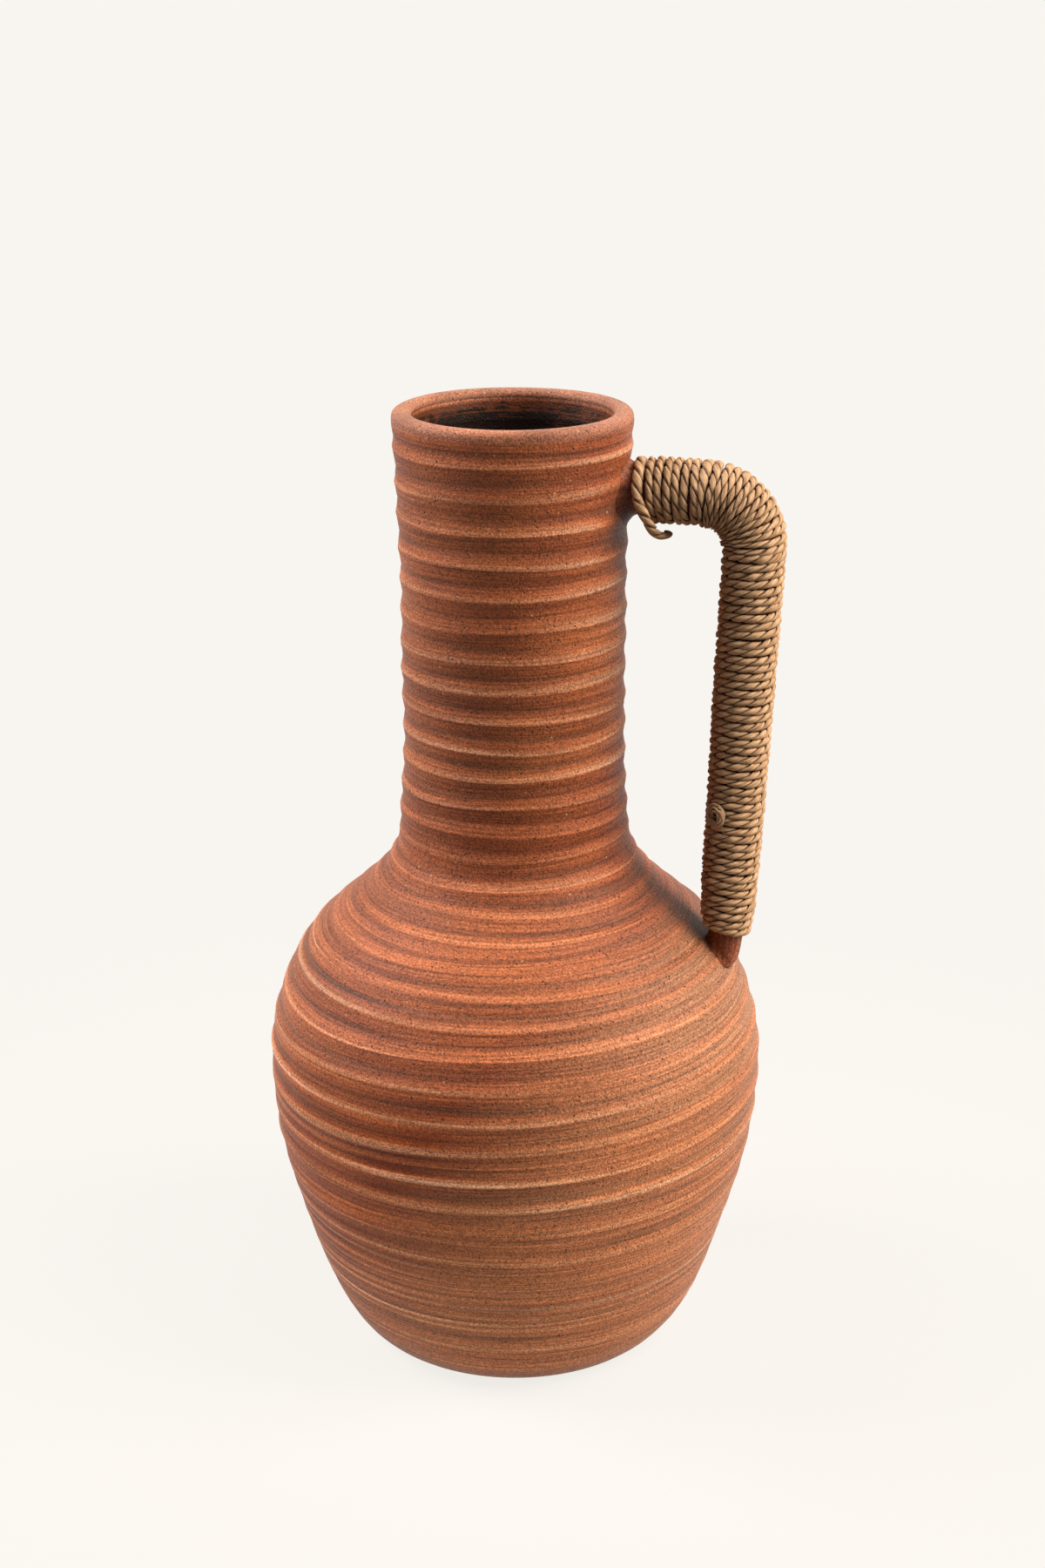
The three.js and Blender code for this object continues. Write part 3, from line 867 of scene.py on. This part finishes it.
def twisted(seed, distance, angle, lift, squash=None, shade=1.0):
    """Two plies along a path round the handle, with their attributes and the cord's length.

    Squash is the width that the bend leaves to the cord. Shade is how dark the gaps between its turns are.
    """
    squash = np.ones_like(distance) if squash is None else squash
    centre = round_handle(distance, angle, bar_radius(distance) + cord_radius + lift)
    length = np.concatenate([[0], np.cumsum(np.linalg.norm(np.diff(centre, axis=0), axis=1))])
    forward = np.gradient(centre, length, axis=0)
    beside = unit(np.cross(centre - round_handle(distance, angle, 0 * angle), forward))
    away = unit(np.cross(forward, beside))
    first_twist = np.random.default_rng(seed).uniform(0, 6)
    twist = 2 * math.pi * length / lay + 0.5 * waves(seed, length, 0, 60, 0, 5) + first_twist
    side = np.arange(ply_sides) * 2 * math.pi / ply_sides
    thickness = squash**-0.35
    paths, layers = [], {"strand": [], "crevice": []}
    for ply in (0, 1):
        turned_by = twist + math.pi * ply
        swell = 1 + 0.07 * waves(seed + 7 + ply, length, 0, 7, 0, 7)
        size = swell[:, None] * (1 + 0.04 * waves(seed + 9 + ply, length[:, None], side, 5, 3, 7))
        out = ply_offset + ply_depth * size * np.cos(side)
        aside = ply_width * size * np.sin(side)
        cosine, sine = np.cos(turned_by)[:, None], np.sin(turned_by)[:, None]
        rise = thickness[:, None] * (out * cosine - aside * sine)
        across = squash[:, None] * (out * sine + aside * cosine)
        paths.append(centre[:, None] + rise[..., None] * away[:, None] + across[..., None] * beside[:, None])
        fibre_angle = side + 0.5 * turned_by[:, None]
        down_the_ply = length[:, None] + 50 * ply + seed + 0 * size
        strand = [0.9 * np.cos(fibre_angle), 0.9 * np.sin(fibre_angle), down_the_ply]
        layers["strand"].append(np.stack(strand, axis=-1).reshape(-1, 3))
        # Painted shade between the plies and in the gaps between the turns.
        between_plies = np.interp(np.cos(side) + 0 * size, [-0.8, -0.25], [1.0, 0.0])
        between_turns = shade * np.interp(rise, [-0.45, 0.35], [1.0, 0.0])
        layers["crevice"].append(np.maximum(between_plies, between_turns).ravel())
    return paths, {key: np.concatenate(values) for key, values in layers.items()}, length[-1]


# %% [markdown]
# Sisal-like leaf fibre: straw-coloured, with fine fibres that run along each ply, and with painted shade, dark
# and red, between the plies and between the turns. The fibres are long thin cells of noise in the ply's own
# measure, 0.16 mm wide and 5 mm long, and wider ones of 0.8 mm stand for whole hanks of them. They also stand
# up a little, which breaks up the light. Dry fibre is matt, so the roughness is high.

# %% Fibre material
fibre_width_mm = 0.16
fibre_length_mm = 5.0
hank_mm = 0.8
hank_length_mm = 8.0
weathered_mm = 9.0
fibre_relief_mm = 0.3


def fibre_material(name):
    fibre, tree = new_material(name)
    place = add(tree, "TexCoord", output="Object")
    strand = add(tree, "Attribute", output="Vector", attribute_name="strand")
    crevice = add(tree, "Attribute", output="Fac", attribute_name="crevice")
    fine = (1 / fibre_width_mm, 1 / fibre_width_mm, 1 / fibre_length_mm)
    wide = (1 / hank_mm, 1 / hank_mm, 1 / hank_length_mm)
    along = add(tree, "VectorMath", {0: strand, 1: fine}, operation="MULTIPLY")
    bundled = add(tree, "VectorMath", {0: strand, 1: wide}, operation="MULTIPLY")
    fibres = add(tree, "TexNoise", {"Vector": along, "Scale": 1.0, "Detail": 3.0, "Roughness": 0.6})
    hanks = add(tree, "TexNoise", {"Vector": bundled, "Scale": 1.0, "Detail": 2.0})
    patches = add(tree, "TexNoise", {"Vector": place, "Scale": 1 / (weathered_mm * MM), "Detail": 2.0})
    straw_colours = [(0.3, "#74502F"), (0.5, "#C69F76"), (0.7, "#F4DAB8")]
    colour = add(tree, "ValToRGB", {"Fac": fibres}, stops=straw_colours)
    stains = [
        (hanks, 0.4, 0.7, 0.5, "#E2C096"),
        (hanks, 0.5, 0.3, 0.55, "#90683F"),
        (patches, 0.45, 0.75, 0.3, "#A07850"),
        # Painted shade in the crevices of the cord.
        (crevice, 0.0, 1.0, 0.95, "#2A1408"),
    ]
    colour = stain(tree, colour, stains)
    bump = add(tree, "Bump", {"Height": fibres, "Strength": 1.0, "Distance": fibre_relief_mm * MM})
    look = {"Base Color": colour, "Roughness": 0.8, "IOR": 1.5, "Normal": bump}
    add(tree, "OutputMaterial", {"Surface": add(tree, "BsdfPrincipled", look)})
    return fibre


leaf_fibre = fibre_material("dry_leaf_fibre")

# %% [markdown]
# The winding. One turn follows the other every 2.8 mm. On the bend the turns are closer, with four more of
# them, so that they still close on the bend's outer side, and they are crowded narrow and thick on its inner
# side. A hand-wound turn isn't square to the bar: its outer side runs ahead of its inner side, by up to 3 mm.
# The knot interrupts the winding a third of the way round its 52nd turn.

# %% Winding
cord_pitch = 2.8
more_turns_on_bend = 4
tail_distance = neck_face + 3.1 + cord_pitch / 2
winding_start = tail_distance + cord_pitch + 0.6
knot_turn = 47.33 + more_turns_on_bend
last_turn = 62.6 + more_turns_on_bend
lean_places = [45, 48, 52, 56, 60, 66, 78, 92, 100, 150, 215]
leans = [-0.8, -0.4, 0.3, 0.8, 1.7, 2.4, 1.5, 0.3, 0.0, 1.7, 3.2]
levels = np.arange(winding_start - 4, winding_start + cord_pitch * 66, 0.1)
bend_edges = [bend_start - 2, bend_start + 2, bend_end - 2, bend_end + 2]
more_per_mm = more_turns_on_bend / (bend_end - bend_start)
turns_per_mm = 1 / cord_pitch + np.interp(levels, bend_edges, [0, more_per_mm, more_per_mm, 0])
turn_at = np.cumsum(turns_per_mm) * 0.1
turn_at -= np.interp(winding_start, levels, turn_at)


def wound(first, last):
    turns = np.linspace(first, last, int((last - first) * samples_per_turn) + 1)
    angle = 2 * math.pi * turns
    level = np.interp(turns, turn_at, levels)
    lean = np.interp(level, lean_places, leans)
    distance = level + lean / 2 * np.cos(angle) + 0.16 * waves(52, turns, 0, 0.7, 0, 9)
    bending = (distance > bend_start - 2) & (distance < bend_end + 2)
    room = np.where(bending, 1 + (bar_radius(distance) + cord_radius) * np.cos(angle) / bend_radius, 1.0)
    room /= cord_pitch * np.interp(level, levels, turns_per_mm)
    window = np.hanning(21)
    room = np.convolve(np.pad(room, 10, "edge"), window / window.sum(), "valid")
    lift = 0.1 * waves(53, turns, 0, 0.9, 0, 9)
    return turns, distance, angle, lift, np.clip(room, 0.4, 1.5)


def ease(value, start, end):
    share = np.clip((value - start) / (end - start), 0, 1)
    return share * share * (3 - 2 * share)


turns, distance, angle, lift, room = wound(-0.35, knot_turn - 0.02)
lift = lift - 1.7 * (1 - ease(turns, -0.35, -0.12))
upper_paths, upper_layers, upper_length = twisted(60, distance, angle, lift, room)
piece("cord_winding_upper", *tubes(upper_paths), leaf_fibre, "fibre_cord", upper_layers, ["cord_upper"])

turns, distance, angle, lift, room = wound(knot_turn + 0.02, last_turn)
lift = lift - 2.2 * ease(turns, last_turn - 0.2, last_turn)
distance = distance - 1.6 * ease(turns, last_turn - 0.25, last_turn)
lower_paths, lower_layers, lower_length = twisted(70, distance, angle, lift, room)
piece("cord_winding_lower", *tubes(lower_paths), leaf_fibre, "fibre_cord", lower_layers, ["cord_lower"])
print("cord wound above the knot:", round(upper_length), "mm, below it:", round(lower_length), "mm")

# %% [markdown]
# The tail is the cord's loose start. It comes over the top of the arm beside the neck, runs down the front,
# leaves the bar, passes under the first turns and ends in a cut a little clear of them. It follows a short
# list of angles round the bar, each with its reach along the bar and its lift off it in mm.

# %% Tail
tail_degrees = [-100, -60, 0, 40, 80, 95, 103, 112, 122, 133, 147, 160, 172, 178]
tail_reach = [-0.9, -0.7, -0.5, 0.1, 0.1, 0.4, 1.3, 2.6, 4.1, 5.4, 6.6, 7.6, 8.3, 8.7]
tail_lift = [-1.5, 0, 0, 0, 0, 0.4, 2.2, 3.5, 4.6, 5.3, 5.5, 5.2, 4.9, 4.7]
fine = np.linspace(0, len(tail_degrees) - 1, 220)
window = np.hanning(31)
loose_cord_width = 1.3


def eased_through(values):
    values = np.interp(fine, np.arange(len(values)), values)
    return np.convolve(np.pad(values, 15, "reflect", reflect_type="odd"), window / window.sum(), "valid")


angle = np.radians(eased_through(tail_degrees))
distance = tail_distance + eased_through(tail_reach)
slack = np.full_like(angle, loose_cord_width)
lift = eased_through(tail_lift)
tail_paths, tail_layers, tail_length = twisted(80, distance, angle, lift, slack, shade=0.3)
# The cut end is painted dark, as shade.
tail_layers["crevice"].reshape(2, -1, ply_sides)[:, -2:] = 1.0
piece("cord_tail_end", *tubes(tail_paths), leaf_fibre, "fibre_cord", tail_layers, ["cord_tail"])
print("cord in the tail:", round(tail_length), "mm")

# %% [markdown]
# The knot is a tuft: the cord's two ends come up side by side, and their frayed fibres curl into a rosette
# round a hollow. Each curl is a thin tube on a spiral that rises and falls over a shallow dome, with painted
# shade on its underside. A low button of fibre fills the middle, so that the bar can't be seen between the
# curls; it is painted dark all over, as shade in the hollow.

# %% Knot
tuft_radius = 4.2
tuft_distance = float(np.interp(knot_turn, turn_at, levels)) + 0.4
tuft_angle = 2 * math.pi * (knot_turn % 1)
tuft_sides = 6
print("knot at", round(tuft_distance, 1), "mm along the handle")


def tuft_point(reach, bearing, height):
    """A point over the knot's middle. The reach runs along the wall of the grip, whose turn is kept."""
    radius = bar_radius(tuft_distance) + height
    across = reach * np.cos(bearing)
    return tuft_distance + reach * np.sin(bearing), tuft_angle + across / (radius + 1.5), radius


def curl(place_in_hank, start_reach, end_reach, start, sweep, rise, thickness):
    share = np.linspace(0, 1, 22)
    bearing = start + sweep * share
    reach = start_reach + (end_reach - start_reach) * share + 0.15 * np.sin(9 * share + start)
    dome = 3.0 + 1.7 * np.clip(1 - (reach / (tuft_radius + 0.6)) ** 2, 0, 1)
    hollow = 1.8 * np.exp(-((reach / 1.2) ** 2))
    height = dome - hollow + rise * np.sin(math.pi * share)
    taper = thickness * np.clip(np.minimum(share * 7 + 0.35, (1 - share) * 5 + 0.25), 0, 1)
    ring = np.arange(tuft_sides) * 2 * math.pi / tuft_sides
    side_reach = reach[:, None] + taper[:, None] * np.cos(ring)
    side_height = height[:, None] + taper[:, None] * np.sin(ring)
    distance, angle, radius = tuft_point(side_reach, bearing[:, None], side_height)
    tube = round_handle(distance, angle, radius)
    down_the_curl = share[:, None] * 9 + place_in_hank
    strand = np.broadcast_arrays(0.75 * np.cos(ring), 0.75 * np.sin(ring), down_the_curl)
    # Painted shade on the underside of each curl.
    depth = np.broadcast_to(np.clip(0.25 - 0.8 * np.sin(ring), 0, 1), side_height.shape)
    return tube, np.stack(strand, axis=-1).reshape(-1, 3), depth.ravel()


dice = np.random.default_rng(90)
curl_rings = [(3.9, 8, 0.42), (3.0, 7, 0.38), (2.1, 5, 0.34), (1.2, 3, 0.3)]
curls = []
for ring_reach, count, thickness in curl_rings:
    for i in range(count):
        start = 2 * math.pi * (i + dice.uniform(-0.35, 0.35)) / count
        reach = ring_reach + dice.uniform(-0.35, 0.35)
        size = thickness * dice.uniform(0.7, 1.15)
        end_reach = max(0.4, reach - dice.uniform(0.2, 1.0))
        sweep = dice.uniform(1.3, 2.6)
        rise = dice.uniform(-0.1, 0.7)
        curls.append(curl(dice.uniform(0, 90), reach, end_reach, start, sweep, rise, size))
curl_tubes, strands, curl_shades = zip(*curls)
layers = {"strand": np.concatenate(strands), "crevice": np.concatenate(curl_shades)}
piece("frayed_knot", *tubes(curl_tubes), leaf_fibre, "fibre_cord", layers, ["cord_knot"])

# %% Button under the knot
button_section = [(0.01, 3.3), (1.0, 3.2), (2.0, 3.1), (3.2, 2.8), (3.8, 2.2), (3.8, 0.3), (0.01, 0.3)]
button_sides = 24
bearing = np.arange(button_sides) * 2 * math.pi / button_sides
button_rings = []
for reach, height in button_section:
    distance, angle, radius = tuft_point(reach + 0 * bearing, bearing, height + 0 * bearing)
    button_rings.append(round_handle(distance, angle, radius))
points, faces = tubes([np.array(button_rings)])
# The button is painted dark all over, as shade in the knot's hollow.
layers = {"strand": points, "crevice": np.ones(len(points))}
piece("knot_button", points, faces, leaf_fibre, "fibre_cord", layers)
